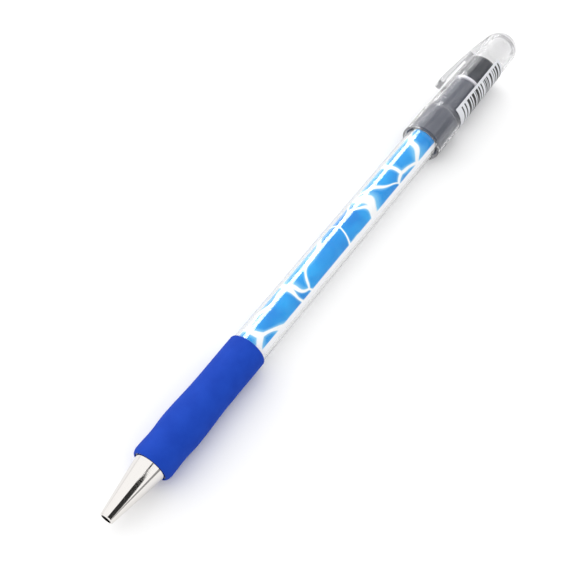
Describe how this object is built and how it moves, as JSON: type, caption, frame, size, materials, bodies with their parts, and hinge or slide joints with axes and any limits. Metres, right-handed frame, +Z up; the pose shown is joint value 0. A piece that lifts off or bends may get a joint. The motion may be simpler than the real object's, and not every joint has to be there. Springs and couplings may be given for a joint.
{
  "type": "pen spinning pen",
  "caption": "Clear-barrelled pen with a blue rubber grip, a bright metal nose cone, a printed insert and a clear clip cap posted on the rear, made to be spun in the fingers.",
  "frame": {"origin": "centre of the nose cone's open end, on the pen's axis", "axes": "+X along the pen from the nose cone to the cap's domed end, +Z up from the surface it lies on, +Y to the left as seen from the nose"},
  "size_m": [0.1782, 0.0131, 0.011],
  "materials": {
    "plated_metal": "bright nickel plate",
    "clear_barrel": "clear, polished",
    "blue_rubber": "matte, soft touch",
    "printed_paper": "blue and white print",
    "plug_plastic": "satin",
    "clear_cap": "clear, polished",
    "grey_plastic": "matte grey",
    "pale_plastic": "pale, satin",
    "dark_plastic": "dark, glossy",
    "label_paper": "white with black bars"
  },
  "bodies": {
    "body": {"barrel": "clear_barrel", "grip": "blue_rubber", "insert": "printed_paper", "tail_plug": "plug_plastic"},
    "nose": {"nose_cone": "plated_metal"},
    "cap": {"cap_shell": "clear_cap", "cap_liner": "grey_plastic", "seal_ring": "pale_plastic", "seal_cup": "dark_plastic", "label": "label_paper"}
  },
  "joints": [
    {"name": "cap_pull", "type": "slide", "parent": "body", "child": "cap", "axis": [1, 0, 0], "range_m": [0, 0.03]},
    {"name": "nose_unscrew", "type": "slide", "parent": "body", "child": "nose", "axis": [-1, 0, 0], "range_m": [0, 0.012]}
  ]
}
